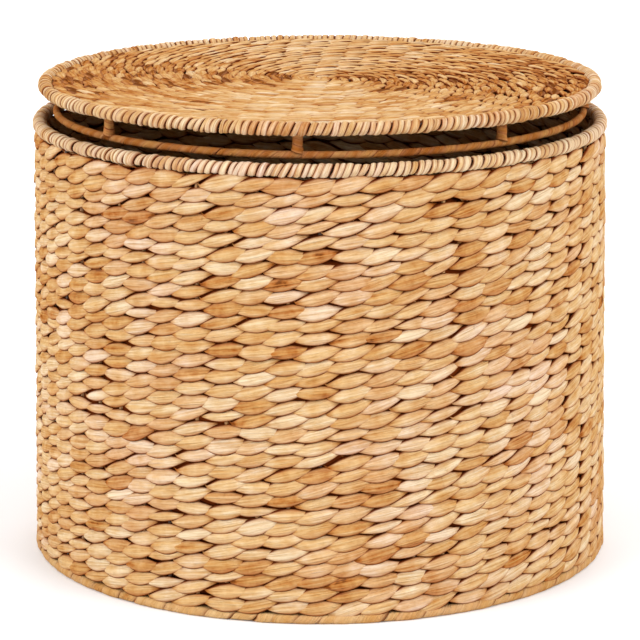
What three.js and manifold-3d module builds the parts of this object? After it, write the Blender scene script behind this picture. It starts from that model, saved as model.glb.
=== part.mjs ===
// Round lidded laundry basket of twined plant fibre on a welded wire frame.
// Millimetres, +Z up. The origin is the middle of the flat underside.

import * as THREE from 'three';
import { mergeVertices } from 'three/addons/utils/BufferGeometryUtils.js';
import Module from 'manifold-3d';

// Driving dimensions
const BASKET_DIAMETER = 560;
const BASKET_HEIGHT = 430;
const RIM_TUBE = 14;            // a wrapped rim, across
const LID_DIAMETER = 548;
const RING_TUBE = 7.8;          // the wrapped locating ring under the lid, across
const RING_DIAMETER = 520;
const RING_DROP = 25.5;         // from the lid rim's centre down to the ring's centre
const WALL_THICKNESS = 12;
const WALL_SPREAD = 6;          // how much further out the wall stands at its foot
const BASE_BAND_HEIGHT = 9;
const BASE_THICKNESS = 10;
const LID_THICKNESS = 9;
const RIM_WIRE = 5;             // hoops inside the two rims, across
const WIRE = 4;                 // all the other wires, across
const POST_TUBE = 8.6;          // a wrapped post, across
const GAP = 0.3;                // between pieces that touch
const BORE_GAP = 0.5;           // round a wire inside fibre

const UPRIGHTS = 12;
const BASE_SPOKES = 6;
const LID_POSTS = 8;            // each post has a lid spoke above it
const POST_TURN = -4.5;         // degrees, the first post from the front

// Places worked out from the driving dimensions
const RIM_RADIUS = (BASKET_DIAMETER - RIM_TUBE) / 2;
const RIM_HEIGHT = BASKET_HEIGHT - RIM_TUBE / 2;
const WALL_TOP = RIM_HEIGHT - RIM_TUBE / 2 - GAP;
const WALL_BOTTOM = BASE_BAND_HEIGHT + GAP;
const FOOT_RADIUS = RIM_RADIUS + WALL_SPREAD;
const HOOP_HEIGHT = BASE_BAND_HEIGHT / 2;
const BASE_BOTTOM = 2.5;
const BASE_RADIUS = FOOT_RADIUS - WALL_THICKNESS / 2 - 2 * GAP;
const LID_RADIUS = (LID_DIAMETER - RIM_TUBE) / 2;
const RING_RADIUS = (RING_DIAMETER - RING_TUBE) / 2;
const RING_HEIGHT = BASKET_HEIGHT + GAP + RING_TUBE / 2;
const LID_HEIGHT = RING_HEIGHT + RING_DROP;
const PANEL_BOTTOM = LID_HEIGHT - 5;
const SPOKE_START = 8;
const RIM_BORE = RIM_WIRE / 2 + BORE_GAP;
const BORE = WIRE / 2 + BORE_GAP;

// Facets
const RING_STEPS = 60;
const WIRE_SIDES = 8;
const POST_SIDES = 12;
const RIM_ARC_STEPS = 10;
const RING_ARC_STEPS = 8;
const BORE_ARC_STEPS = 5;

const wasm = await Module();
wasm.setup();

function material(color, roughness, metalness = 0) {
  return new THREE.MeshStandardMaterial({ color, roughness, metalness });
}

const STEEL = material(0x3a3937, 0.45, 0.9);
const RIM_FIBRE = material(0xd1aa80, 0.7);
const WALL_FIBRE = material(0xd4a370, 0.75);
const LID_FIBRE = material(0xd0a068, 0.75);
const RING_FIBRE = material(0xb47d4e, 0.6);

const basket = new THREE.Group();
const lid = new THREE.Group();

function place(group, name, geometry, finish) {
  const mesh = new THREE.Mesh(geometry, finish.clone());
  mesh.name = name;
  group.add(mesh);
  return mesh;
}

// A point at an angle in degrees, counted from the front (-Y) towards +X.
function around(degrees, radius, height = 0) {
  const turn = THREE.MathUtils.degToRad(degrees - 90);
  return new THREE.Vector3(radius * Math.cos(turn), radius * Math.sin(turn), height);
}

// A straight wire or bar between two points.
function bar(start, end, diameter, sides = WIRE_SIDES) {
  const run = new THREE.Vector3().subVectors(end, start);
  const geometry = new THREE.CylinderGeometry(diameter / 2, diameter / 2, run.length(), sides);
  const turn = new THREE.Quaternion().setFromUnitVectors(new THREE.Vector3(0, 1, 0), run.normalize());
  const middle = new THREE.Vector3().addVectors(start, end).multiplyScalar(0.5);
  return geometry.applyQuaternion(turn).translate(middle.x, middle.y, middle.z);
}

// A ring of a closed section given as points of radius and height.
function turned(section) {
  const closed = [...section, section[0].clone()];
  return new THREE.LatheGeometry(closed, RING_STEPS).rotateX(Math.PI / 2);
}

function wireHoop(radius, height, diameter) {
  const geometry = new THREE.TorusGeometry(radius, diameter / 2, WIRE_SIDES, RING_STEPS);
  return geometry.translate(0, 0, height);
}

// The section of a round wrap with a bore for its wire and a slot that faces one way.
function wrapSection(radius, height, tube, bore, slot, facing, steps) {
  const arcPoint = (size, turn) => new THREE.Vector2(
    radius + size * Math.cos(turn),
    height + size * Math.sin(turn),
  );
  const outerEdge = Math.asin(slot / tube);
  const innerEdge = Math.asin(Math.min(1, slot / bore));
  const points = [];
  for (let i = 0; i <= steps; i += 1) {
    const share = i / steps;
    points.push(arcPoint(tube, facing + outerEdge + share * 2 * (Math.PI - outerEdge)));
  }
  for (let i = BORE_ARC_STEPS; i >= 0; i -= 1) {
    const share = i / BORE_ARC_STEPS;
    points.push(arcPoint(bore, facing + innerEdge + share * 2 * (Math.PI - innerEdge)));
  }
  return points;
}

// Joining and cutting
function toSolid(geometry) {
  const bare = geometry.clone();
  bare.deleteAttribute('normal');
  bare.deleteAttribute('uv');
  const merged = mergeVertices(bare);
  return new wasm.Manifold(new wasm.Mesh({
    numProp: 3,
    vertProperties: new Float32Array(merged.attributes.position.array),
    triVerts: new Uint32Array(merged.index.array),
  }));
}

function cut(geometry, tools) {
  let solid = toSolid(geometry);
  for (const tool of tools) solid = solid.subtract(toSolid(tool));
  const mesh = solid.getMesh();
  const result = new THREE.BufferGeometry();
  result.setAttribute('position', new THREE.BufferAttribute(mesh.vertProperties, 3));
  result.setIndex(new THREE.BufferAttribute(mesh.triVerts, 1));
  return result;
}

function disc(radius, bottom, thickness) {
  const geometry = new THREE.CylinderGeometry(radius, radius, thickness, RING_STEPS);
  return geometry.rotateX(Math.PI / 2).translate(0, 0, bottom + thickness / 2);
}

// Basket: wire frame
function addBasketHoops() {
  place(basket, 'rim_hoop', wireHoop(RIM_RADIUS, RIM_HEIGHT, RIM_WIRE), STEEL);
  place(basket, 'base_hoop', wireHoop(FOOT_RADIUS, HOOP_HEIGHT, WIRE), STEEL);
}

// The middle of the wall's thickness at a height.
function wallRadius(height) {
  return FOOT_RADIUS - WALL_SPREAD * (height - HOOP_HEIGHT) / (RIM_HEIGHT - HOOP_HEIGHT);
}

function upright(index, bottom, top, diameter) {
  const turn = index * 360 / UPRIGHTS;
  const foot = around(turn, wallRadius(bottom), bottom);
  const head = around(turn, wallRadius(top), top);
  return bar(foot, head, diameter);
}

function addUprights() {
  const bottom = HOOP_HEIGHT + WIRE / 2 + GAP;
  const top = RIM_HEIGHT - RIM_WIRE / 2 - GAP;
  for (let i = 0; i < UPRIGHTS; i += 1) {
    place(basket, `upright_${i + 1}`, upright(i, bottom, top, WIRE), STEEL);
  }
}

const BASE_SPOKE_HEIGHT = BASE_BOTTOM + BASE_THICKNESS / 2;

function addBaseSpokes() {
  for (let i = 0; i < BASE_SPOKES; i += 1) {
    const turn = i * 360 / BASE_SPOKES;
    const start = around(turn, SPOKE_START, BASE_SPOKE_HEIGHT);
    const end = around(turn, BASE_RADIUS, BASE_SPOKE_HEIGHT);
    place(basket, `base_spoke_${i + 1}`, bar(start, end, WIRE), STEEL);
  }
}

// Basket: fibre
function addRimWrap() {
  const section = wrapSection(
    RIM_RADIUS, RIM_HEIGHT, RIM_TUBE / 2, RIM_BORE, BORE, -Math.PI / 2, RIM_ARC_STEPS,
  );
  place(basket, 'rim_wrap', turned(section), RIM_FIBRE);
}

function addWall() {
  const half = WALL_THICKNESS / 2;
  const corner = (height, side) => new THREE.Vector2(wallRadius(height) + side * half, height);
  const wall = turned([
    corner(WALL_BOTTOM, -1),
    corner(WALL_BOTTOM, 1),
    corner(WALL_TOP, 1),
    corner(WALL_TOP, -1),
  ]);
  const channels = [];
  for (let i = 0; i < UPRIGHTS; i += 1) {
    channels.push(upright(i, WALL_BOTTOM - 5, WALL_TOP + 5, 2 * BORE));
  }
  place(basket, 'wall_weave', cut(wall, channels), WALL_FIBRE);
}

function addBaseWrap() {
  const half = WALL_THICKNESS / 2;
  const round = 1.5;
  const section = [
    [-BORE, BASE_BAND_HEIGHT],
    [-half + round, BASE_BAND_HEIGHT],
    [-half, BASE_BAND_HEIGHT - round],
    [-half, round],
    [-half + round, 0],
    [half - round, 0],
    [half, round],
    [half, BASE_BAND_HEIGHT - round],
    [half - round, BASE_BAND_HEIGHT],
    [BORE, BASE_BAND_HEIGHT],
  ].map(([across, up]) => new THREE.Vector2(FOOT_RADIUS + across, up));
  for (let i = 0; i <= BORE_ARC_STEPS; i += 1) {
    const turn = -Math.PI * i / BORE_ARC_STEPS;
    section.push(new THREE.Vector2(
      FOOT_RADIUS + BORE * Math.cos(turn),
      HOOP_HEIGHT + BORE * Math.sin(turn),
    ));
  }
  place(basket, 'base_wrap', turned(section), RIM_FIBRE);
}

function addBaseWeave() {
  const panel = disc(BASE_RADIUS, BASE_BOTTOM, BASE_THICKNESS);
  const tunnels = [];
  for (let i = 0; i < BASE_SPOKES; i += 1) {
    const turn = i * 360 / BASE_SPOKES;
    const start = around(turn, SPOKE_START - 1, BASE_SPOKE_HEIGHT);
    const end = around(turn, BASE_RADIUS + 5, BASE_SPOKE_HEIGHT);
    tunnels.push(bar(start, end, 2 * BORE));
  }
  place(basket, 'base_weave', cut(panel, tunnels), WALL_FIBRE);
}

// Lid: wire frame
function addLidHoops() {
  place(lid, 'lid_hoop', wireHoop(LID_RADIUS, LID_HEIGHT, RIM_WIRE), STEEL);
  place(lid, 'lid_ring_wire', wireHoop(RING_RADIUS, RING_HEIGHT, WIRE), STEEL);
}

function addLidSpokes() {
  for (let i = 0; i < LID_POSTS; i += 1) {
    const turn = POST_TURN + i * 360 / LID_POSTS;
    const start = around(turn, SPOKE_START + 1, LID_HEIGHT);
    const end = around(turn, LID_RADIUS - RIM_WIRE / 2 - GAP, LID_HEIGHT);
    place(lid, `lid_spoke_${i + 1}`, bar(start, end, WIRE), STEEL);
  }
}

function addLidPosts() {
  const wireBottom = RING_HEIGHT + WIRE / 2 + GAP;
  const wireTop = LID_HEIGHT - WIRE / 2 - GAP;
  const wrapBottom = RING_HEIGHT + RING_TUBE / 2 + GAP;
  const wrapTop = PANEL_BOTTOM - GAP;
  for (let i = 0; i < LID_POSTS; i += 1) {
    const turn = POST_TURN + i * 360 / LID_POSTS;
    const at = (height) => around(turn, RING_RADIUS, height);
    place(lid, `lid_post_wire_${i + 1}`, bar(at(wireBottom), at(wireTop), WIRE), STEEL);
    const sleeve = bar(at(wrapBottom), at(wrapTop), POST_TUBE, POST_SIDES);
    const bore = bar(at(wrapBottom - 1), at(wrapTop + 1), 2 * BORE);
    place(lid, `lid_post_wrap_${i + 1}`, cut(sleeve, [bore]), RING_FIBRE);
  }
}

// Lid: fibre
function addLidWraps() {
  const rim = wrapSection(
    LID_RADIUS, LID_HEIGHT, RIM_TUBE / 2, RIM_BORE, BORE, Math.PI, RIM_ARC_STEPS,
  );
  place(lid, 'lid_rim_wrap', turned(rim), RIM_FIBRE);
  const ring = wrapSection(
    RING_RADIUS, RING_HEIGHT, RING_TUBE / 2, BORE, BORE, Math.PI / 2, RING_ARC_STEPS,
  );
  place(lid, 'lid_ring_wrap', turned(ring), RING_FIBRE);
}

function addLidPanel() {
  const radius = LID_RADIUS - RIM_TUBE / 2 - GAP;
  const panel = disc(radius, PANEL_BOTTOM, LID_THICKNESS);
  const tunnels = [];
  for (let i = 0; i < LID_POSTS; i += 1) {
    const turn = POST_TURN + i * 360 / LID_POSTS;
    const start = around(turn, SPOKE_START, LID_HEIGHT);
    const end = around(turn, radius + 5, LID_HEIGHT);
    tunnels.push(bar(start, end, 2 * BORE));
    const foot = around(turn, RING_RADIUS, PANEL_BOTTOM - 1);
    const head = around(turn, RING_RADIUS, LID_HEIGHT);
    tunnels.push(bar(foot, head, 2 * BORE));
  }
  place(lid, 'lid_weave', cut(panel, tunnels), LID_FIBRE);
}

addBasketHoops();
addUprights();
addBaseSpokes();
addRimWrap();
addWall();
addBaseWrap();
addBaseWeave();
addLidHoops();
addLidSpokes();
addLidPosts();
addLidWraps();
addLidPanel();

const group = new THREE.Group();
group.add(basket, lid);

export default group;
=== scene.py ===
"""The looks of a round, lidded laundry basket of twined plant fibre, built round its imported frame."""

import math

import bmesh
import bpy
import numpy as np
from bpy.props import FloatProperty, FloatVectorProperty, IntProperty, PointerProperty
from mathutils import Euler, Matrix, Vector


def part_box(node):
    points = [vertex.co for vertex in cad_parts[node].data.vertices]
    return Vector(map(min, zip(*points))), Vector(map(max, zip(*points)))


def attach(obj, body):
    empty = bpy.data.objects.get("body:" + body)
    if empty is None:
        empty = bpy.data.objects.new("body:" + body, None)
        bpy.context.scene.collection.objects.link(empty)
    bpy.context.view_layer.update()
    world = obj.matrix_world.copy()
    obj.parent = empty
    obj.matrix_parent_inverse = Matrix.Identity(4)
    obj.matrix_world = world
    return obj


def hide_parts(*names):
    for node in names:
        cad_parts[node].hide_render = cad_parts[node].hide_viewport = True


bl_info = {
    "name": "Twined Laundry Basket",
    "version": (1, 0, 0),
    "blender": (4, 5, 0),
    "location": "View3D > Sidebar > Basket",
    "description": "Builds the strands, rims and finishes of a lidded laundry basket",
    "category": "Add Mesh",
}

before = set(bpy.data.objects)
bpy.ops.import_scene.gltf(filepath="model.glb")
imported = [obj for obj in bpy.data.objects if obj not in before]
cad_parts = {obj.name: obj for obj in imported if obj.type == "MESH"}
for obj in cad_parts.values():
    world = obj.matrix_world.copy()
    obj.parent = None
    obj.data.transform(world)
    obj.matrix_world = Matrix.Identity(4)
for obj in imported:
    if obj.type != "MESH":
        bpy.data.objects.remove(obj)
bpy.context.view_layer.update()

SEED = 41
MM = 0.001
FULL_TURN = 2 * math.pi

# Steps from stake to stake and sides round a strand, where the weave is seen close to and where it is not
FINE = (10, 8)
COARSE = (7, 6)

# Tones from 0 to 1: the part of a turn's tone that is its strand's, how strands and turns spread, and how
# many turns are odd ones and by how much
STRAND_SHARE = 0.3
STRAND_SPREAD = (2.5, 2.2)
TURN_SPREAD = (4.4, 3.4)
DARK_SHARE = 0.03
DARKER = 0.55
PALE_SHARE = 0.05
PALER = 0.2

# How far apart two strands' streaks can start
STREAK_STARTS = 7

# A turn's width on a rim, as a share of its pitch
RIM_SHARE = 1.04

# Twining on a round panel; a leaf near the middle reaches no further in than this share of its radius
DISC_STAKES = 8
DISC_LEVEL = 2.0 * MM
DISC_TILT = -0.4 * MM
DISC_BREADTH = 0.55
DISC_REACH = 0.9

# The linings inside the weaves: packed fibre in the crevice colour, painted shade seen through the gaps
SHADE_LINING_STEPS = 96
SHADE_LINING_SIDES = 4
SHADE_LINING_THICKNESS = 0.8 * MM

# Places taken from the frame
RIM_LOW, RIM_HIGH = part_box("rim_hoop")
FOOT_LOW, FOOT_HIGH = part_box("base_hoop")
WALL_LOW, WALL_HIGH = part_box("wall_weave")
BAND_LOW, BAND_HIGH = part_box("base_wrap")
BASE_LOW, BASE_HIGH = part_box("base_weave")
LID_LOW, LID_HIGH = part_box("lid_hoop")
PANEL_LOW, PANEL_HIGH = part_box("lid_weave")
RING_LOW, RING_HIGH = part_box("lid_ring_wire")


def wire_height(low, high):
    return (low.z + high.z) / 2


def wire_radius(low, high):
    """The radius of a hoop's centreline: its outer radius less half the wire."""
    return high.x - (high.z - low.z) / 2


RIM_RADIUS = wire_radius(RIM_LOW, RIM_HIGH)
RIM_HEIGHT = wire_height(RIM_LOW, RIM_HIGH)
FOOT_RADIUS = wire_radius(FOOT_LOW, FOOT_HIGH)
FOOT_HEIGHT = wire_height(FOOT_LOW, FOOT_HIGH)
LID_RADIUS = wire_radius(LID_LOW, LID_HIGH)
LID_HEIGHT = wire_height(LID_LOW, LID_HIGH)
RING_RADIUS = wire_radius(RING_LOW, RING_HIGH)
RING_HEIGHT = wire_height(RING_LOW, RING_HIGH)


def facing(name):
    """Which way round the axis a node lies."""
    low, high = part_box(name)
    return math.atan2(low.y + high.y, low.x + high.x)


WALL_PHASE = facing("upright_1")
BASE_PHASE = facing("base_spoke_1")
LID_PHASE = facing("lid_spoke_1")
POSTS = sorted(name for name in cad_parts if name.startswith("lid_post_wire_"))
WIRES = sorted(
    name
    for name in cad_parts
    if name.startswith(("upright_", "base_spoke_", "lid_spoke_", "lid_post_wire_"))
    or name in ("rim_hoop", "base_hoop", "lid_hoop", "lid_ring_wire")
)


def length(name, description, default):
    return FloatProperty(name=name, description=description, default=default, unit="LENGTH", precision=5)


def share(name, description, default):
    return FloatProperty(name=name, description=description, default=default, min=0.0, soft_max=1.0)


def colour(name, description, default):
    return FloatVectorProperty(
        name=name, description=description, default=default, subtype="COLOR", min=0.0, soft_max=1.0
    )


def number(name, description, default):
    return IntProperty(name=name, description=description, default=default, min=1)


def brightness(name, description, default):
    return FloatProperty(name=name, description=description, default=default, min=0.0)


def degrees(name, description, default):
    return FloatProperty(name=name, description=description, default=math.radians(default), subtype="ANGLE")


class WeaveSizes(bpy.types.PropertyGroup):
    """The twined strands of the wall, the bottom and the lid."""

    stakes: number("Stakes", "Stakes round the wall, an even number", 60)
    wall_rows: number("Wall rows", "Rows of twining up the wall", 32)
    wall_thickness: length("Wall strand crown", "Height of a strand's crown on the wall", 2.1 * MM)
    lid_rows: number("Lid rows", "Rings of twining across the lid", 27)
    lid_thickness: length("Lid strand crown", "Height of a strand's crown on the lid", 2.4 * MM)
    lid_stitch: length("Lid stitch", "Length of a strand that shows on the lid", 21.0 * MM)
    base_rows: number("Base rows", "Rings of twining across the bottom", 21)
    base_stitch: length("Base stitch", "Length of a strand that shows on the bottom", 28.0 * MM)
    slope: share("Slope", "How far a strand climbs from one stake to the next, in rows", 0.44)
    disc_slope: share("Slope of discs", "The slope on the lid and the bottom, as a share of the wall's", 1.35)
    unevenness: share("Unevenness", "How uneven the hand work is", 1.0)
    # Painted sheen: the lid's tone is darker at its left and right and lighter near and far, where its fibre
    # would shine
    painted_sheen: share("Sectors", "How much darker the lid is at its left and right than near and far", 0.19)


class WrapSizes(bpy.types.PropertyGroup):
    """The strands wound round the rims, the ring and the posts."""

    rim_turns: number("Basket rim turns", "Turns round the basket's rim", 264)
    lid_turns: number("Lid rim turns", "Turns round the lid's rim", 256)
    ring_turns: number("Ring turns", "Turns round the locating ring", 128)
    band_turns: number("Base band turns", "Turns round the base band", 88)
    rim_strand: length("Rim strand thickness", "Thickness of a strand on a rim", 3.8 * MM)
    slant: length("Slant", "How far a turn leans along the basket's rim", 1.2 * MM)
    lid_slant: length("Lid slant", "How far a turn leans along the lid's rim", 0.9 * MM)


class FibreColours(bpy.types.PropertyGroup):
    """The tones of the dried fibre and the frame's wire, and the painted shade along and between the strands.
    """

    brown: colour("Brown", "The darkest strands", (0.17, 0.050, 0.010))
    amber: colour("Amber", "Reddish strands", (0.40, 0.132, 0.024))
    golden: colour("Golden", "Common strands", (0.56, 0.295, 0.097))
    straw: colour("Straw", "Common pale strands", (0.67, 0.437, 0.204))
    # Also the colour of the painted highlight line inside a strand's edges
    pale: colour("Pale", "The palest strands", (0.77, 0.610, 0.400))
    pink: colour("Pinkish", "What tints the pinkish strands", (1.0, 0.93, 1.30))
    # Painted shade: the reddish band along a strand's edges and at its ends
    warm_shade: colour("Edging", "Along a strand's edges", (0.44, 0.110, 0.010))
    shadow: colour("Crevice", "Between the strands", (0.12, 0.018, 0.003))
    steel: colour("Wire", "The frame's coated wire", (0.060, 0.026, 0.012))


class StageSizes(bpy.types.PropertyGroup):
    """The camera and the studio."""

    distance: length("Camera distance", "From the basket's axis to the camera", 3.022)
    height: length("Camera height", "Of the camera above the floor", 0.947)
    pitch: degrees("Pitch", "Downwards tilt", 13.52)
    lens: FloatProperty(name="Lens", description="Focal length in millimetres", default=176.2)
    floor: colour("Floor", "Colour of the floor", (0.90, 0.905, 0.915))
    key: brightness("Key light", "Strength of the light from the right", 1.80)
    fill: brightness("Fill light", "Strength of the light from the left", 1.84)
    back: brightness("Back light", "Strength of the light from behind", 0.8)
    softness: degrees("Softness", "Angle that each light fills", 40)
    sky: share("Sky", "Strength of the light from all round", 0.77)


# ---------------------------------------------------------------- meshes


def read_places(mesh):
    places = np.empty(len(mesh.vertices) * 3)
    mesh.vertices.foreach_get("co", places)
    return places.reshape(-1, 3)


class Ring:
    """A plain ring tube rolled up from a grid. turn is how far round the axis each vertex lies, and side is
    how far round the tube's section."""

    def __init__(self, steps, sides):
        bm = bmesh.new()
        bmesh.ops.create_grid(bm, x_segments=steps, y_segments=sides, size=math.pi)
        for vert in bm.verts:
            turn, side, _ = vert.co
            reach = 2 + math.cos(side)
            vert.co = (reach * math.cos(turn), reach * math.sin(turn), math.sin(side))
        bmesh.ops.remove_doubles(bm, verts=bm.verts, dist=0.00001)
        self.mesh = bpy.data.meshes.new("ring")
        bm.to_mesh(self.mesh)
        bm.free()
        places = read_places(self.mesh)
        self.turn = np.arctan2(places[:, 1], places[:, 0]) % FULL_TURN
        self.side = np.arctan2(places[:, 2], np.hypot(places[:, 0], places[:, 1]) - 2)


class Piece:
    """Collects shaped copies of plain meshes, with each vertex's place on its strand, into one object."""

    def __init__(self):
        self.bm = bmesh.new()
        self.marks = {"across": [], "edge": [], "tone": [], "run": []}

    def add(self, ring, places, **marks):
        """across is a distance over the strand's width, edge goes from -1 to 1 over it, tone is the
        strand's own, and run goes from -1 to 1 along the stretch that shows."""
        ring.mesh.vertices.foreach_set("co", places.ravel())
        self.bm.from_mesh(ring.mesh)
        for mark, values in marks.items():
            self.marks[mark].append(values)

    def finish(self, name, material, body, slot, *replaced):
        bmesh.ops.recalc_face_normals(self.bm, faces=self.bm.faces)
        mesh = bpy.data.meshes.new(name)
        self.bm.to_mesh(mesh)
        self.bm.free()
        for mark, values in self.marks.items():
            attribute = mesh.attributes.new(mark, "FLOAT", "POINT")
            attribute.data.foreach_set("value", np.concatenate(values).astype(np.float32))
        mesh.shade_smooth()
        return settle(name, mesh, material, body, slot, *replaced)


def settle(name, mesh, material, body, slot, *replaced):
    """Puts a finished mesh in the scene, on its body and in place of its frame nodes; slot is not used."""
    piece = bpy.data.objects.new(name, mesh)
    bpy.context.scene.collection.objects.link(piece)
    mesh.materials.append(material)
    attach(piece, body)
    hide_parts(*replaced)
    return piece


def rounded(value, power):
    """A sine or cosine pushed out towards a rounded rectangle's."""
    return np.sign(value) * np.abs(value) ** power


def eased(value):
    """Nought to one, with a soft start and a soft end."""
    value = np.clip(value, 0, 1)
    return value * value * (3 - 2 * value)


def stepped(values, place):
    """The value at a place along a closed row, eased from each turn to the next."""
    low = np.floor(place).astype(int)
    part = eased(place - low)
    count = len(values)
    return values[low % count] * (1 - part) + values[(low + 1) % count] * part


def own_width(width, random):
    """Distances over a strand's width, from a start of its own so that no two strands share their streaks."""
    return width + random.random() * STREAK_STARTS


def tones(random, count, strand_tone):
    """One tone for each time a strand shows: most near the strand's own, and a few odd ones."""
    own = STRAND_SHARE * strand_tone + (1 - STRAND_SHARE) * random.beta(*TURN_SPREAD, count)
    odd = random.random(count)
    own[odd < DARK_SHARE] *= DARKER
    own[odd > 1 - PALE_SHARE] += PALER
    return np.clip(own, 0, 1)


class Twining:
    """Rows of two strands that take turns on the face. Each turn is a leaf of flat fibre, which lies over the
    start of the next one and over the row below, and dives between two stakes at both ends. run goes from
    -1 to 1 along a leaf, and edge from -1 to 1 over its width."""

    # A leaf's outline: half its breadth in rows, how pointed its ends are, its least breadth, and how far
    # its widest part is from the middle
    BREADTH = 0.57
    POINTED = 0.8
    NECK = 0.02
    SKEW = 0.1
    # Its section: how square it is, how round its crown is, the depth of its back as a share of its crown,
    # and its thickness at the ends as a share of the middle's
    SQUARE = 0.8
    ROUND = 0.6
    UNDERSIDE = 0.5
    THIN_END = 0.35
    # How far it stands off the surface, where it starts and ends its dive, and how much earlier it dives
    # at its far end
    LEVEL = 3.0 * MM
    DIVE_FROM = 0.42
    DIVE_TO = 0.98
    LEAD = 0.08
    # How it rises along its run and leans over its width, and where it turns back to the row's middle
    RISE = -0.5 * MM
    TILT = 1.4 * MM
    RETURN = 0.82
    # How uneven each thing is: the stakes and the rows as shares of a stitch, the level in millimetres
    UNEVEN = {
        "stake": 0.035,
        "row": 0.02,
        "nudge": 0.07,
        "breadth": 0.12,
        "thickness": 0.12,
        "climb": 0.28,
        "lift": 0.06,
        "level": 0.25,
    }

    def __init__(self, stakes, pitch, thickness, slope, unevenness, random, steps, sides):
        self.stakes = stakes
        self.pitch = pitch
        self.thickness = thickness
        self.slope = slope
        self.unevenness = unevenness
        self.random = random
        self.ring = Ring(stakes * steps, sides)
        self.warp = random.normal(0, self.UNEVEN["stake"] * unevenness, stakes)
        self.face = 1
        self.level = self.LEVEL
        self.tilt = self.TILT
        self.breadth = self.BREADTH
        self.painted_sheen = 0.0

    def row(self, piece, place, radius, start):
        """place(turn, across, out) gives a point on the woven surface; radius is the row's."""
        shift = self.random.normal(0, self.UNEVEN["row"] * self.unevenness)
        for strand in (0, 1):
            self.strand(piece, place, radius, strand, shift, start)

    def strand(self, piece, place, radius, strand, shift, start):
        ring, count = self.ring, self.stakes
        along_row = ring.turn / FULL_TURN * count
        leaf = np.floor((along_row + strand + 1) / 2).astype(int) % (count // 2)
        run = (along_row + strand + 1) % 2 - 1

        def vary(name, middle=0.0):
            return middle + self.random.normal(0, self.UNEVEN[name] * self.unevenness, count // 2)[leaf]

        stake = np.round(along_row - run).astype(int) % count
        nudge = self.warp[stake] + vary("nudge")
        skewed = run + self.SKEW * (1 - run**2)
        front = np.cos(math.pi * skewed / 2) ** 2
        breadth = ((front + self.NECK) / (1 + self.NECK)) ** self.POINTED * vary("breadth", 1)
        edge = rounded(np.cos(ring.side), self.SQUARE)
        crown = (1 - edge**2) ** self.ROUND
        crown = np.where(np.sin(ring.side) > 0, crown, -self.UNDERSIDE * crown)
        thick = self.thickness * vary("thickness", 1)
        thick = thick * (self.THIN_END + (1 - self.THIN_END) * front**0.5)
        half = self.breadth * self.pitch * breadth
        climb = np.interp(run, (-1, -self.RETURN, self.RETURN, 1), (0, -self.RETURN, self.RETURN, 0))
        climb = climb * self.slope * vary("climb", 1) * self.pitch
        across = climb + half * edge + vary("lift") * self.pitch
        dive = eased((np.abs(run + self.LEAD) - self.DIVE_FROM) / (self.DIVE_TO - self.DIVE_FROM))
        out = self.level * (1 - dive) + vary("level") * MM
        out = out + self.RISE * run - self.tilt * edge * breadth + thick * crown
        stitch = FULL_TURN * radius / count
        lean = half * edge * self.slope * self.pitch / stitch
        turn = start + (along_row + nudge + shift) / count * FULL_TURN - lean / radius
        places = place(turn, across, self.face * out)
        tone = tones(self.random, count // 2, self.random.beta(*STRAND_SPREAD))[leaf]
        # Painted sheen: darker at the lid's left and right, lighter near and far, fixed to the lid
        tone = np.clip(tone - self.painted_sheen * np.cos(2 * turn), 0, 1)
        across = own_width(half * edge, self.random)
        piece.add(ring, places, across=across, edge=edge, tone=tone, run=run)


def round_point(radius, turn, height):
    return np.stack([radius * np.cos(turn), radius * np.sin(turn), height + 0 * turn], axis=-1)


def shade_lining(name, first, last, material, body, slot, replaced):
    """A thin dark sheet inside a weave, from one radius and height to another: it stands for the packed fibre
    there, and its crevice colour is painted shade seen through the gaps between strands.
    """
    ring = Ring(SHADE_LINING_STEPS, SHADE_LINING_SIDES)
    (radius, height), (last_radius, last_height) = first, last
    run, rise = last_radius - radius, last_height - height
    size = math.hypot(run, rise)
    part = (1 + np.cos(ring.side)) / 2
    thick = SHADE_LINING_THICKNESS / 2 * np.sin(ring.side)
    radius = radius + run * part - rise / size * thick
    height = height + rise * part + run / size * thick
    piece = Piece()
    still = 0 * ring.turn
    places = round_point(radius, ring.turn, height)
    # An edge of 1 gives the sheet the full crevice colour: painted shade
    piece.add(ring, places, across=still, edge=still + 1, tone=still + 0.1, run=still)
    piece.finish(name, material, body, slot, replaced)


def wall_radius(height):
    """The middle of the wall's thickness, which leans from the rim's hoop to the foot's."""
    part = (height - FOOT_HEIGHT) / (RIM_HEIGHT - FOOT_HEIGHT)
    return FOOT_RADIUS + (RIM_RADIUS - FOOT_RADIUS) * part


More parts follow.
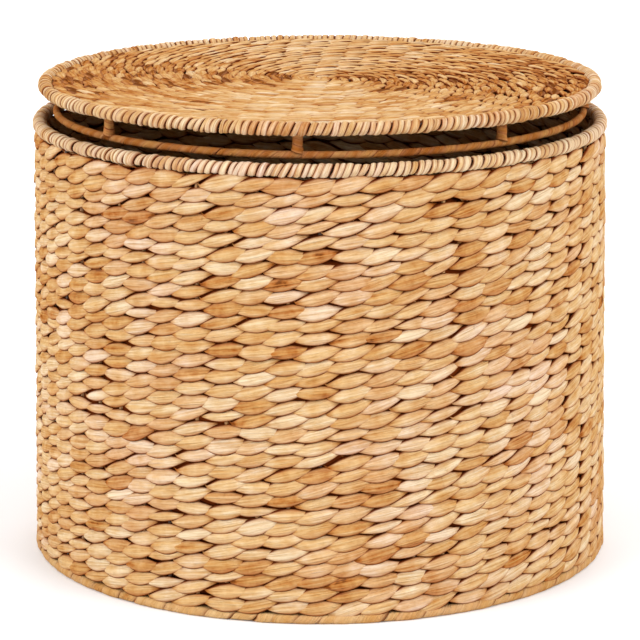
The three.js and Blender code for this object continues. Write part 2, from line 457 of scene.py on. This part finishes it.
class Winding:
    """A strand wound round a hoop in close turns."""

    STEPS = 16
    SIDES = 8
    SQUARE = 0.95
    # How uneven the turns are; no turn stands further out than the wrap's own size
    UNEVEN_WIDTH = 0.17
    UNEVEN_THICKNESS = 0.10
    UNEVEN_PROUD = 0.12
    UNEVEN_SLANT = 0.6 * MM
    SUNK = 0.1
    # The strand's own tone, and how early a turn takes up its tone, out of sight under the hoop
    TONE = 0.6
    TONE_START = 0.25

    def __init__(self, turns, pitch_share, thickness, inner, slant, random):
        self.turns = turns
        self.pitch_share = pitch_share
        self.thickness = thickness
        self.inner = inner
        self.slant = slant
        self.random = random
        self.ring = Ring(turns * self.STEPS, self.SIDES)

    def wind(self, piece, radius, height, tube=None):
        """tube(angle) gives how far the wrap stands from the hoop's middle, as a share of its round size."""
        random, turns = self.random, self.turns
        count = self.ring.turn / FULL_TURN * turns
        angle = FULL_TURN * count
        pitch = FULL_TURN * radius / turns

        def vary(middle, amount):
            return stepped(random.normal(middle, amount, turns), count)

        widths = np.exp(random.normal(0, self.UNEVEN_WIDTH, turns))
        widths *= turns / widths.sum()
        spot = np.interp(count, np.arange(turns + 1), np.concatenate([[0], np.cumsum(widths)]))
        width = pitch * self.pitch_share * stepped(widths, count)
        thick = self.thickness * (1 + vary(0, self.UNEVEN_THICKNESS))
        proud = vary(-self.SUNK, self.UNEVEN_PROUD) * self.thickness
        proud = np.minimum(proud, self.thickness - thick)
        slant = self.slant + self.UNEVEN_SLANT * vary(0, 1)
        edge = rounded(np.cos(self.ring.side), self.SQUARE)
        deep = rounded(np.sin(self.ring.side), self.SQUARE)
        width = edge * width / 2
        stand = self.inner + thick / 2 * (1 + deep) + proud
        if tube is not None:
            stand = stand * tube(angle)
        along = width + slant * np.sin(angle)
        turn = (spot * pitch + along) / radius
        places = round_point(radius + stand * np.cos(angle), turn, height + stand * np.sin(angle))
        tone = tones(random, turns, self.TONE)[np.floor(count + self.TONE_START).astype(int) % turns]
        piece.add(self.ring, places, across=own_width(width, random), edge=edge, tone=tone, run=0 * edge)


# ---------------------------------------------------------------- finishes

# Streaks along a strand: fineness, scale, detail and, where it isn't 0.5, roughness
HAIRS = (22.0, 30.0, 3.5, 0.6)
VEINS = (20.0, 24.0, 3.0, 0.6)
BANDS = (12.0, 13.0, 2.0)

# Spots and drifts: scale, detail and, where it isn't 0.5, roughness
BLOTCHES = (55.0, 3.0, 0.65)
DRIFT = (9.0, 2.0)
PORES = (210.0, 2.0)
WEAR = (26.0, 2.0)
RAGGED = (120.0, 2.0)
WIRE_GRAIN = (900.0, 2.0)
CANE_GRAIN = (60.0, 3.0)

# What the hairs multiply a strand's colour by, and how much of that shows
HAIR_STOPS = [(0.0, (0.62, 0.42, 0.24)), (0.8, (1.0, 1.0, 1.0))]
HAIR_SHARE = 0.6


class Signal:
    """A socket's output. Used in an expression, it adds the Math nodes that work it out."""

    def __init__(self, tree, socket):
        self.tree = tree
        self.socket = socket

    def math(self, operation, *values):
        node = self.tree.nodes.new("ShaderNodeMath")
        node.operation = operation
        for socket, value in zip(node.inputs, values):
            plug(self.tree, socket, value)
        return Signal(self.tree, node.outputs[0])

    def __add__(self, other):
        return self.math("ADD", self, other)

    __radd__ = __add__

    def __mul__(self, other):
        return self.math("MULTIPLY", self, other)

    __rmul__ = __mul__

    def __sub__(self, other):
        return self.math("SUBTRACT", self, other)

    def __rsub__(self, other):
        return self.math("SUBTRACT", other, self)

    def __pow__(self, other):
        return self.math("POWER", self, other)

    def __abs__(self):
        return self.math("ABSOLUTE", self)

    def clamped(self):
        return self.math("MINIMUM", self.math("MAXIMUM", self, 0.0), 1.0)

    def fraction(self):
        return self.math("FRACT", self)


def plug(tree, socket, value):
    """Links a signal to a socket, or sets the socket's own value."""
    if isinstance(value, Signal):
        tree.links.new(value.socket, socket)
    elif isinstance(value, (int, float)):
        socket.default_value = value
    else:
        values = list(value)
        wanted = len(socket.default_value)
        socket.default_value = (values + [1.0])[:wanted]


class Finish:
    """A material under construction."""

    MIX_FACTOR, MIX_FIRST, MIX_SECOND, MIX_COLOUR = 0, 6, 7, 2

    def __init__(self, name):
        self.material = bpy.data.materials.new(name)
        self.material.use_nodes = True
        self.tree = self.material.node_tree
        self.tree.nodes.clear()

    def node(self, kind, settings, inputs, output=0):
        """Adds a node, makes its settings, and then sets or links its sockets."""
        node = self.tree.nodes.new(kind)
        for name, value in settings.items():
            if name == "stops":
                self.set_stops(node.color_ramp, value)
            else:
                setattr(node, name, value)
        for socket, value in inputs.items():
            plug(self.tree, node.inputs[socket], value)
        return Signal(self.tree, node.outputs[output]) if node.outputs else None

    @staticmethod
    def set_stops(ramp, stops):
        while len(ramp.elements) < len(stops):
            ramp.elements.new(0.5)
        for element, (position, value) in zip(ramp.elements, stops):
            element.position = position
            element.color = (*value, 1.0)

    def ramp(self, factor, stops):
        return self.node("ShaderNodeValToRGB", {"stops": stops}, {"Fac": factor})

    def mix(self, factor, first, second, blend="MIX"):
        inputs = {self.MIX_FACTOR: factor, self.MIX_FIRST: first, self.MIX_SECOND: second}
        settings = {"data_type": "RGBA", "blend_type": blend}
        return self.node("ShaderNodeMix", settings, inputs, self.MIX_COLOUR)

    def mark(self, name):
        return self.node("ShaderNodeAttribute", {"attribute_name": name}, {}, "Fac")

    def place(self):
        return self.node("ShaderNodeTexCoord", {}, {}, "Object")

    def noise(self, place, scale, detail, roughness=0.5):
        inputs = {"Vector": place, "Scale": scale, "Detail": detail, "Roughness": roughness}
        return self.node("ShaderNodeTexNoise", {"noise_dimensions": "3D"}, inputs, "Fac")

    def streaks(self, place, across, fineness, scale, detail, roughness=0.5):
        """Noise drawn out along a strand. fineness is how fast it changes over the strand's width."""
        inputs = {"Vector": place, "W": across * fineness, "Scale": scale, "Detail": detail}
        inputs["Roughness"] = roughness
        return self.node("ShaderNodeTexNoise", {"noise_dimensions": "4D"}, inputs, "Fac")

    def bump(self, height, strength, distance):
        inputs = {"Height": height, "Strength": strength, "Distance": distance}
        return self.node("ShaderNodeBump", {}, inputs, "Normal")

    def shade(self, **inputs):
        """Ends the material in a Principled shader; an underscore in a socket's name stands for a space."""
        named = {name.replace("_", " "): value for name, value in inputs.items()}
        shader = self.node("ShaderNodeBsdfPrincipled", {}, named, "BSDF")
        self.node("ShaderNodeOutputMaterial", {}, {"Surface": shader})
        return self.material


def spread(signal, middle, contrast):
    """Stretches a noise's narrow range about a middle value."""
    return (signal - 0.5) * contrast + middle


def fibre(name, colours, stops, streak=1.0, roughness=0.58, dim=0.0, pinkness=0.5, outline=5.5):
    """Dried flat fibre: a tone for each strand, streaks along it, blotches, pores, and painted shade and
    highlight along its edges and at its leaves' ends.
    """
    finish = Finish(name)
    place = finish.place()
    across, run, tone = (finish.mark(mark) for mark in ("across", "run", "tone"))
    hair = finish.streaks(place, across, *HAIRS)
    vein = finish.streaks(place, across, *VEINS)
    band = finish.streaks(place, across, *BANDS)
    blotch = finish.noise(place, *BLOTCHES)
    # Streaks and blotches, plus painted light along the run: a leaf a little darker at its start and lighter
    # at its tip
    mottle = spread(band, 0.0, 0.7) + spread(blotch, 0.0, 0.9) + spread(vein, 0.0, 0.8) * streak + run * 0.04
    # Painted shade at both ends of a leaf, where it dives under its neighbours
    ends = (abs(run + 0.06) * 2.6 - 1.3).clamped()
    base = finish.ramp((tone + mottle - ends * 0.4 - dim).clamped(), stops)
    tinted = tint_strands(finish, place, tone, pinkness, base, colours)
    lines = spread(hair, 0.55, 3.4).clamped()
    streaked = finish.mix(min(1.0, HAIR_SHARE * streak), tinted, finish.ramp(lines, HAIR_STOPS), "MULTIPLY")
    aged = age(finish, place, streaked, colours)
    height = lines * 0.4 + spread(vein, 0.5, 1.4) + spread(band, 0.5, 1.2) * 0.7
    return finish.shade(
        Base_Color=outline_strands(finish, place, run, ends, outline, aged, colours),
        Roughness=(roughness - 0.18 * spread(blotch, 0.5, 1.5)).clamped(),
        Normal=finish.bump(height, 1.0, 0.0016),
        Specular_IOR_Level=0.0,
    )


def tint_strands(finish, place, tone, pinkness, base, colours):
    """Turns some strands pinkish, here one and there a few together."""
    drift = spread(finish.noise(place, *DRIFT), 0.0, 3.0)
    tint = drift + (tone * 37.0).fraction() - 0.45
    pinkish = finish.mix(1.0, base, colours.pink, "MULTIPLY")
    return finish.mix(tint.clamped() * pinkness, base, pinkish)


def age(finish, place, base, colours):
    """Brown pores, in worn patches."""
    pores = spread(finish.noise(place, *PORES), -0.6, 7.0).clamped()
    worn = spread(finish.noise(place, *WEAR), -0.35, 5.0).clamped()
    return finish.mix(pores * worn * 0.45, base, colours.brown)


def outline_strands(finish, place, run, ends, outline, base, colours):
    """A strand's border, painted light and shade, from the inside out: a painted highlight line, a reddish
    band of painted shade, and a dark painted shadow at the edge that reaches further in at the tip and in the
    notch above the strand's start, where a leaf dives under its neighbours."""
    side = finish.mark("edge")
    ragged = finish.noise(place, *RAGGED)
    edge = (abs(side) + spread(ragged, 0.0, 0.22)).clamped()
    # A painted highlight: a pale line just inside the edge, where light would catch it
    painted_highlight = (edge**3.0 - edge**9.0).clamped() * 0.4
    pale = finish.mix(painted_highlight, base, colours.pale)
    # A reddish band of painted shade along the edge and at the leaf's ends
    warm_shade_mask = (edge ** (outline * 0.6) + ends * 0.5).clamped() * 0.9
    warm_shaded = finish.mix(warm_shade_mask, pale, colours.warm_shade)
    # Painted shadow at a leaf's tip and in the notch above its start, where it dives under its neighbours
    tip = (run * 6.0 - 4.1).clamped()
    notch = (side * 4.0 - 2.5).clamped() * (run * -3.0 + 0.3).clamped()
    # The dark edge: painted shadow in the crevice colour along the border, at the ends, the tip and the notch
    rim = (edge ** (outline * 1.4) + ends * ends * 0.3 + tip + notch).clamped() * 0.96
    return finish.mix(rim, warm_shaded, colours.shadow)


def tone_stops(colours):
    return [
        (0.0, colours.brown),
        (0.06, colours.amber),
        (0.30, colours.golden),
        (0.57, colours.straw),
        (0.92, colours.pale),
    ]


def coated_wire(colours):
    finish = Finish("coated_wire")
    grain = finish.noise(finish.place(), *WIRE_GRAIN)
    return finish.shade(
        Base_Color=finish.mix(spread(grain, 0.3, 1.2).clamped(), colours.steel, (0.020, 0.010, 0.006)),
        Roughness=spread(grain, 0.45, 0.4).clamped(),
        Metallic=0.6,
        Normal=finish.bump(grain, 0.2, 0.0002),
    )


def cane(colours):
    """Round stakes, almost hidden in the wall."""
    finish = Finish("cane")
    grain = finish.noise(finish.place(), *CANE_GRAIN)
    return finish.shade(
        Base_Color=finish.mix(spread(grain, 0.5, 2.0).clamped(), colours.brown, colours.golden),
        Roughness=spread(grain, 0.55, 0.4).clamped(),
        Normal=finish.bump(grain, 0.4, 0.0005),
    )


def twined_fibre(colours):
    """The wall's and the bottom's fibre, made the first time it is asked for."""
    name = "twined_fibre"
    return bpy.data.materials.get(name) or fibre(name, colours, tone_stops(colours))


def sizes(context):
    scene = context.scene
    return scene.basket_weave, scene.basket_wraps, scene.basket_colours


# ---------------------------------------------------------------- operators


class BuildWires(bpy.types.Operator):
    """Gives the frame's wires their dark coating"""

    bl_idname = "basket.build_wires"
    bl_label = "Wires"

    def execute(self, context):
        material = coated_wire(context.scene.basket_colours)
        for name in WIRES:
            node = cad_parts[name]
            node.data.materials.clear()
            node.data.materials.append(material)
        return {"FINISHED"}


class BuildWall(bpy.types.Operator):
    """Twines the wall's rows, in bands from the foot to the rim"""

    bl_idname = "basket.build_wall"
    bl_label = "Wall"

    BANDS = 4

    def execute(self, context):
        weave, _, colours = sizes(context)
        random = np.random.default_rng(SEED)
        material = twined_fibre(colours)
        low, high = WALL_LOW.z, WALL_HIGH.z
        pitch = (high - low) / weave.wall_rows
        outside = Twining(
            weave.stakes, pitch, weave.wall_thickness, weave.slope, weave.unevenness, random, *FINE
        )
        inside = Twining(
            weave.stakes, pitch, weave.wall_thickness, weave.slope, weave.unevenness, random, *COARSE
        )
        inside.face = -1
        rows_in_band = weave.wall_rows // self.BANDS
        for band in range(self.BANDS):
            for name, twining in (("outside", outside), ("inside", inside)):
                piece = Piece()
                for row in range(band * rows_in_band, (band + 1) * rows_in_band):
                    middle = low + (row + 0.5) * pitch
                    twining.row(piece, self.row_place(middle), wall_radius(middle), WALL_PHASE)
                piece.finish(f"wall_rows_{name}_{band + 1}", material, "basket", "wall_fibre", "wall_weave")
        ends = [(wall_radius(height), height) for height in (low + MM, high - MM)]
        shade_lining("wall_shade_lining", *ends, material, "basket", "wall_fibre", "wall_weave")
        return {"FINISHED"}

    @staticmethod
    def row_place(middle):
        def place(turn, across, out):
            height = middle + across
            return round_point(wall_radius(height) + out, turn, height)

        return place


class BuildStakes(bpy.types.Operator):
    """Stands the thin stakes in the wall, between the wire uprights"""

    bl_idname = "basket.build_stakes"
    bl_label = "Stakes"

    THICKNESS = 4.0 * MM
    SIDES = 6

    def execute(self, context):
        weave, _, colours = sizes(context)
        uprights = sum(name.startswith("upright_") for name in WIRES)
        low, high = WALL_LOW.z, WALL_HIGH.z
        middle = (low + high) / 2
        radius = self.THICKNESS / 2
        lean = math.atan2(FOOT_RADIUS - RIM_RADIUS, RIM_HEIGHT - FOOT_HEIGHT)
        bm = bmesh.new()
        for index in range(weave.stakes):
            if index % (weave.stakes // uprights) == 0:
                continue
            turn = WALL_PHASE + index / weave.stakes * FULL_TURN
            stake = bmesh.ops.create_cone(
                bm, cap_ends=True, segments=self.SIDES, radius1=radius, radius2=radius, depth=high - low
            )["verts"]
            bmesh.ops.rotate(bm, verts=stake, matrix=Matrix.Rotation(-lean, 3, "Y"))
            bmesh.ops.translate(bm, verts=stake, vec=(wall_radius(middle), 0, middle))
            bmesh.ops.rotate(bm, verts=stake, matrix=Matrix.Rotation(turn, 3, "Z"))
        mesh = bpy.data.meshes.new("wall_stakes")
        bm.to_mesh(mesh)
        bm.free()
        settle("wall_stakes", mesh, cane(colours), "basket", "wall_fibre", "wall_weave")
        return {"FINISHED"}


def twine_disc(piece, weave, random, rows, pitch, middle, face, crown, stitch, start, fineness, painted_sheen=0.0):
    """Twines rings from the middle of a round panel to its edge, with more stakes as they get larger. The
    number of stakes is a multiple of DISC_STAKES, so that it changes only every few rings."""
    made = {}
    slope = weave.slope * weave.disc_slope
    for row in rows:
        radius = (row + 0.5) * pitch
        steps = max(1, round(FULL_TURN * radius / stitch / DISC_STAKES))
        stakes = DISC_STAKES * steps if row > 1 else DISC_STAKES // 2
        if stakes not in made:
            made[stakes] = Twining(stakes, pitch, crown, slope, weave.unevenness, random, *fineness)
            made[stakes].face = face
            made[stakes].level = DISC_LEVEL
            made[stakes].tilt = DISC_TILT
            made[stakes].painted_sheen = painted_sheen
        twining = made[stakes]
        twining.breadth = min(DISC_BREADTH, DISC_REACH * radius / pitch)

        def place(turn, across, out, radius=radius):
            return round_point(radius - across, turn, middle + out)

        twining.row(piece, place, radius, start)


class BuildBase(bpy.types.Operator):
    """Twines the bottom"""

    bl_idname = "basket.build_base"
    bl_label = "Bottom"

    def execute(self, context):
        weave, _, colours = sizes(context)
        random = np.random.default_rng(SEED + 1)
        pitch = BASE_HIGH.x / weave.base_rows
        middle = (BASE_LOW.z + BASE_HIGH.z) / 2
        material = twined_fibre(colours)
        for name, face in (("top", 1), ("under", -1)):
            piece = Piece()
            rows = range(weave.base_rows)
            twine_disc(
                piece, weave, random, rows, pitch, middle, face, weave.wall_thickness, weave.base_stitch,
                BASE_PHASE, COARSE,
            )
            piece.finish(f"base_rows_{name}", material, "basket", "wall_fibre", "base_weave")
        ends = [(radius, middle) for radius in (MM, BASE_HIGH.x - MM)]
        shade_lining("base_shade_lining", *ends, material, "basket", "wall_fibre", "base_weave")
        return {"FINISHED"}


def wind_rim(wrap, turns, thickness, slant, radius, height, random):
    """The turns round a rim's hoop, out to the size of its wrap in the frame."""
    _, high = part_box(wrap)
    winding = Winding(turns, RIM_SHARE, thickness, high.x - radius - thickness, slant, random)
    piece = Piece()
    winding.wind(piece, radius, height)
    return piece


def rim_material(name, colours, dim):
    stops = [
        (0.0, colours.amber),
        (0.2, colours.golden),
        (0.45, colours.straw),
        (0.8, colours.pale),
    ]
    return fibre(name, colours, stops, streak=1.3, roughness=0.6, dim=dim, pinkness=0.5, outline=4.5)


class BuildRim(bpy.types.Operator):
    """Winds the basket's rim"""

    bl_idname = "basket.build_rim"
    bl_label = "Basket rim"

    DIM = -0.16

    def execute(self, context):
        _, wraps, colours = sizes(context)
        random = np.random.default_rng(SEED + 2)
        piece = wind_rim(
            "rim_wrap", wraps.rim_turns, wraps.rim_strand, wraps.slant, RIM_RADIUS, RIM_HEIGHT, random
        )
        material = rim_material("rim_fibre", colours, self.DIM)
        piece.finish("rim_turns", material, "basket", "rim_fibre", "rim_wrap")
        return {"FINISHED"}


class BuildBand(bpy.types.Operator):
    """Winds the flat band at the foot"""

    bl_idname = "basket.build_band"
    bl_label = "Base band"

    THICKNESS = 1.6 * MM
    SHARE = 1.3
    SLANT = 0.2 * MM

    def execute(self, context):
        _, wraps, colours = sizes(context)
        random = np.random.default_rng(SEED + 3)
        half_height = (BAND_HIGH.z - BAND_LOW.z) / 2
        half_width = BAND_HIGH.x - FOOT_RADIUS
        inner = half_height - self.THICKNESS
        winding = Winding(wraps.band_turns, self.SHARE, self.THICKNESS, inner, self.SLANT, random)

        def flattened(angle):
            """A rounded rectangle, in place of a round section."""
            wide = np.abs(np.cos(angle)) * half_height / half_width
            return 1 / (np.abs(np.sin(angle)) ** 4 + wide**4) ** 0.25

        piece = Piece()
        winding.wind(piece, FOOT_RADIUS, FOOT_HEIGHT, flattened)
        stops = [(0.0, colours.amber), (0.35, colours.golden), (1.0, colours.straw)]
        material = fibre("base_fibre", colours, stops, streak=0.6, roughness=0.6, outline=12.0)
        piece.finish("base_band_turns", material, "basket", "base_fibre", "base_wrap")
        return {"FINISHED"}


class BuildLid(bpy.types.Operator):
    """Twines the lid's round panel"""

    bl_idname = "basket.build_lid"
    bl_label = "Lid panel"

    OUTER_FROM = 0.72

    def execute(self, context):
        weave, _, colours = sizes(context)
        random = np.random.default_rng(SEED + 4)
        pitch = PANEL_HIGH.x / weave.lid_rows
        middle = (PANEL_LOW.z + PANEL_HIGH.z) / 2
        material = fibre("lid_fibre", colours, tone_stops(colours), dim=0.15, pinkness=0.1, outline=6.0)
        inner = round(weave.lid_rows * self.OUTER_FROM)
        parts = (("inner", range(inner)), ("outer", range(inner, weave.lid_rows)))
        for side, face, fineness in (("top", 1, FINE), ("under", -1, COARSE)):
            for name, rows in parts:
                piece = Piece()
                twine_disc(
                    piece, weave, random, rows, pitch, middle, face, weave.lid_thickness, weave.lid_stitch,
                    LID_PHASE, fineness, weave.painted_sheen,
                )
                piece.finish(f"lid_rows_{side}_{name}", material, "lid", "lid_fibre", "lid_weave")
        ends = [(radius, middle) for radius in (MM, PANEL_HIGH.x - MM)]
        shade_lining("lid_shade_lining", *ends, material, "lid", "lid_fibre", "lid_weave")
        return {"FINISHED"}


class BuildLidRim(bpy.types.Operator):
    """Winds the lid's rim"""

    bl_idname = "basket.build_lid_rim"
    bl_label = "Lid rim"

    DIM = 0.07

    def execute(self, context):
        _, wraps, colours = sizes(context)
        random = np.random.default_rng(SEED + 5)
        piece = wind_rim(
            "lid_rim_wrap", wraps.lid_turns, wraps.rim_strand, wraps.lid_slant, LID_RADIUS, LID_HEIGHT, random
        )
        material = rim_material("lid_rim_fibre", colours, self.DIM)
        piece.finish("lid_rim_turns", material, "lid", "rim_fibre", "lid_rim_wrap")
        return {"FINISHED"}


class BuildRing(bpy.types.Operator):
    """Winds the locating ring and its posts"""

    bl_idname = "basket.build_ring"
    bl_label = "Ring and posts"

    THICKNESS = 1.1 * MM
    SHARE = 1.4
    SLANT = 1.0 * MM
    # The turns round a post: how far they reach past its ends, how much wider they are there, how far they
    # lean, and half a turn's width as a share of the pitch
    POST_TURNS = 3
    POST_STEPS = 14
    POST_SIDES = 8
    POST_REACH = 1.5 * MM
    POST_FLARE = 0.3
    POST_LEAN = 1.6 * MM
    POST_SQUARE = 0.7
    POST_HALF_WIDTH = 0.58
    POST_HALF_THICKNESS = 0.5 * MM
    POST_UNEVEN = 0.03

    def execute(self, context):
        _, wraps, colours = sizes(context)
        random = np.random.default_rng(SEED + 6)
        stops = [
            (0.0, colours.brown),
            (0.4, colours.amber),
            (1.0, colours.golden),
        ]
        material = fibre("ring_fibre", colours, stops, streak=0.7, roughness=0.45)
        _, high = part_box("lid_ring_wrap")
        inner = high.x - RING_RADIUS - self.THICKNESS
        winding = Winding(wraps.ring_turns, self.SHARE, self.THICKNESS, inner, self.SLANT, random)
        piece = Piece()
        winding.wind(piece, RING_RADIUS, RING_HEIGHT)
        piece.finish("ring_turns", material, "lid", "ring_fibre", "lid_ring_wrap")
        self.wind_posts(material, random)
        return {"FINISHED"}

    def wind_posts(self, material, random):
        ring = Ring(self.POST_STEPS, self.POST_SIDES)
        piece = Piece()
        replaced = []
        for name in POSTS:
            wrap = name.replace("wire", "wrap")
            low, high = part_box(wrap)
            for index in range(self.POST_TURNS):
                self.wind_post(piece, ring, low, high, index, random)
            replaced.append(wrap)
        piece.finish("post_turns", material, "lid", "ring_fibre", *replaced)

    def wind_post(self, piece, ring, low, high, index, random):
        """One turn of a post's wrap, which leans down towards the outside."""
        edge = rounded(np.cos(ring.side), self.POST_SQUARE)
        deep = rounded(np.sin(ring.side), self.POST_SQUARE)
        middle = (low + high) / 2
        pitch = (high.z - low.z + 2 * self.POST_REACH) / self.POST_TURNS
        height = low.z - self.POST_REACH + (index + 0.5) * pitch
        along_post = 2 * (index + 0.5 + 0.5 * edge) / self.POST_TURNS - 1
        flare = 1 + self.POST_FLARE * along_post**4
        radius = (high.x - low.x) / 2 * (flare + self.POST_UNEVEN * random.normal())
        radius = radius + deep * self.POST_HALF_THICKNESS
        width = edge * pitch * self.POST_HALF_WIDTH
        lean = self.POST_LEAN * np.sin(ring.turn - math.atan2(middle.y, middle.x) + math.pi)
        places = round_point(radius, ring.turn, height + width + lean) + (middle.x, middle.y, 0)
        tone = np.full(len(ring.turn), 0.3 + 0.4 * random.random())
        piece.add(ring, places, across=own_width(width, random), edge=edge, tone=tone, run=0 * edge)


class BuildStage(bpy.types.Operator):
    """Sets the floor, the lights and the camera"""

    bl_idname = "basket.build_stage"
    bl_label = "Stage"

    FLOOR_SIZE = 14.0
    KEY_FROM = (0.82, -0.53, 0.75)
    FILL_FROM = (-0.87, -0.48, 0.60)
    BACK_FROM = (0.15, 1.0, 0.75)
    SENSOR = 36.0
    CLIP_END = 50.0

    def execute(self, context):
        stage = context.scene.basket_stage
        self.lay_floor(stage)
        self.set_sky(context, stage)
        for name, strength, place in (
            ("key", stage.key, self.KEY_FROM),
            ("fill", stage.fill, self.FILL_FROM),
            ("back", stage.back, self.BACK_FROM),
        ):
            self.hang_light(context, name, strength, stage.softness, place)
        self.set_camera(context, stage)
        context.scene.view_settings.view_transform = "Standard"
        return {"FINISHED"}

    def lay_floor(self, stage):
        bm = bmesh.new()
        bmesh.ops.create_grid(bm, x_segments=1, y_segments=1, size=self.FLOOR_SIZE)
        mesh = bpy.data.meshes.new("floor")
        bm.to_mesh(mesh)
        bm.free()
        finish = Finish("floor")
        mesh.materials.append(finish.shade(Base_Color=stage.floor, Roughness=0.9))
        floor = bpy.data.objects.new("floor", mesh)
        bpy.context.scene.collection.objects.link(floor)

    @staticmethod
    def set_sky(context, stage):
        world = bpy.data.worlds.new("studio")
        world.use_nodes = True
        background = world.node_tree.nodes["Background"]
        background.inputs["Color"].default_value = (1.0, 1.0, 1.0, 1.0)
        background.inputs["Strength"].default_value = stage.sky
        context.scene.world = world

    @staticmethod
    def hang_light(context, name, strength, softness, place):
        data = bpy.data.lights.new(name, "SUN")
        data.energy = strength
        data.angle = softness
        light = bpy.data.objects.new(name, data)
        light.rotation_euler = Vector(place).to_track_quat("Z", "Y").to_euler()
        context.scene.collection.objects.link(light)

    def set_camera(self, context, stage):
        data = bpy.data.cameras.new("camera")
        data.lens = stage.lens
        data.sensor_width = self.SENSOR
        data.clip_end = self.CLIP_END
        camera = bpy.data.objects.new("camera", data)
        camera.location = (0, -stage.distance, stage.height)
        camera.rotation_euler = Euler((math.pi / 2 - stage.pitch, 0, 0))
        context.scene.collection.objects.link(camera)
        context.scene.camera = camera


STEPS = (
    BuildWires, BuildWall, BuildStakes, BuildBase, BuildRim, BuildBand,
    BuildLid, BuildLidRim, BuildRing, BuildStage,
)


class BasketPanel(bpy.types.Panel):
    """Lists the steps that build the basket"""

    bl_idname = "VIEW3D_PT_basket"
    bl_label = "Laundry Basket"
    bl_space_type = "VIEW_3D"
    bl_region_type = "UI"
    bl_category = "Basket"

    def draw(self, context):
        scene = context.scene
        for group in (scene.basket_weave, scene.basket_wraps, scene.basket_colours, scene.basket_stage):
            box = self.layout.box()
            for name in group.__annotations__:
                box.prop(group, name)
        for step in STEPS:
            self.layout.operator(step.bl_idname)


GROUPS = {
    "basket_weave": WeaveSizes,
    "basket_wraps": WrapSizes,
    "basket_colours": FibreColours,
    "basket_stage": StageSizes,
}


def register():
    for cls in (*GROUPS.values(), *STEPS, BasketPanel):
        bpy.utils.register_class(cls)
    for name, group in GROUPS.items():
        setattr(bpy.types.Scene, name, PointerProperty(type=group))


def unregister():
    for name in GROUPS:
        delattr(bpy.types.Scene, name)
    for cls in reversed((*GROUPS.values(), *STEPS, BasketPanel)):
        bpy.utils.unregister_class(cls)


def main():
    register()
    for step in STEPS:
        area, name = step.bl_idname.split(".")
        getattr(getattr(bpy.ops, area), name)()


if __name__ == "__main__":
    main()
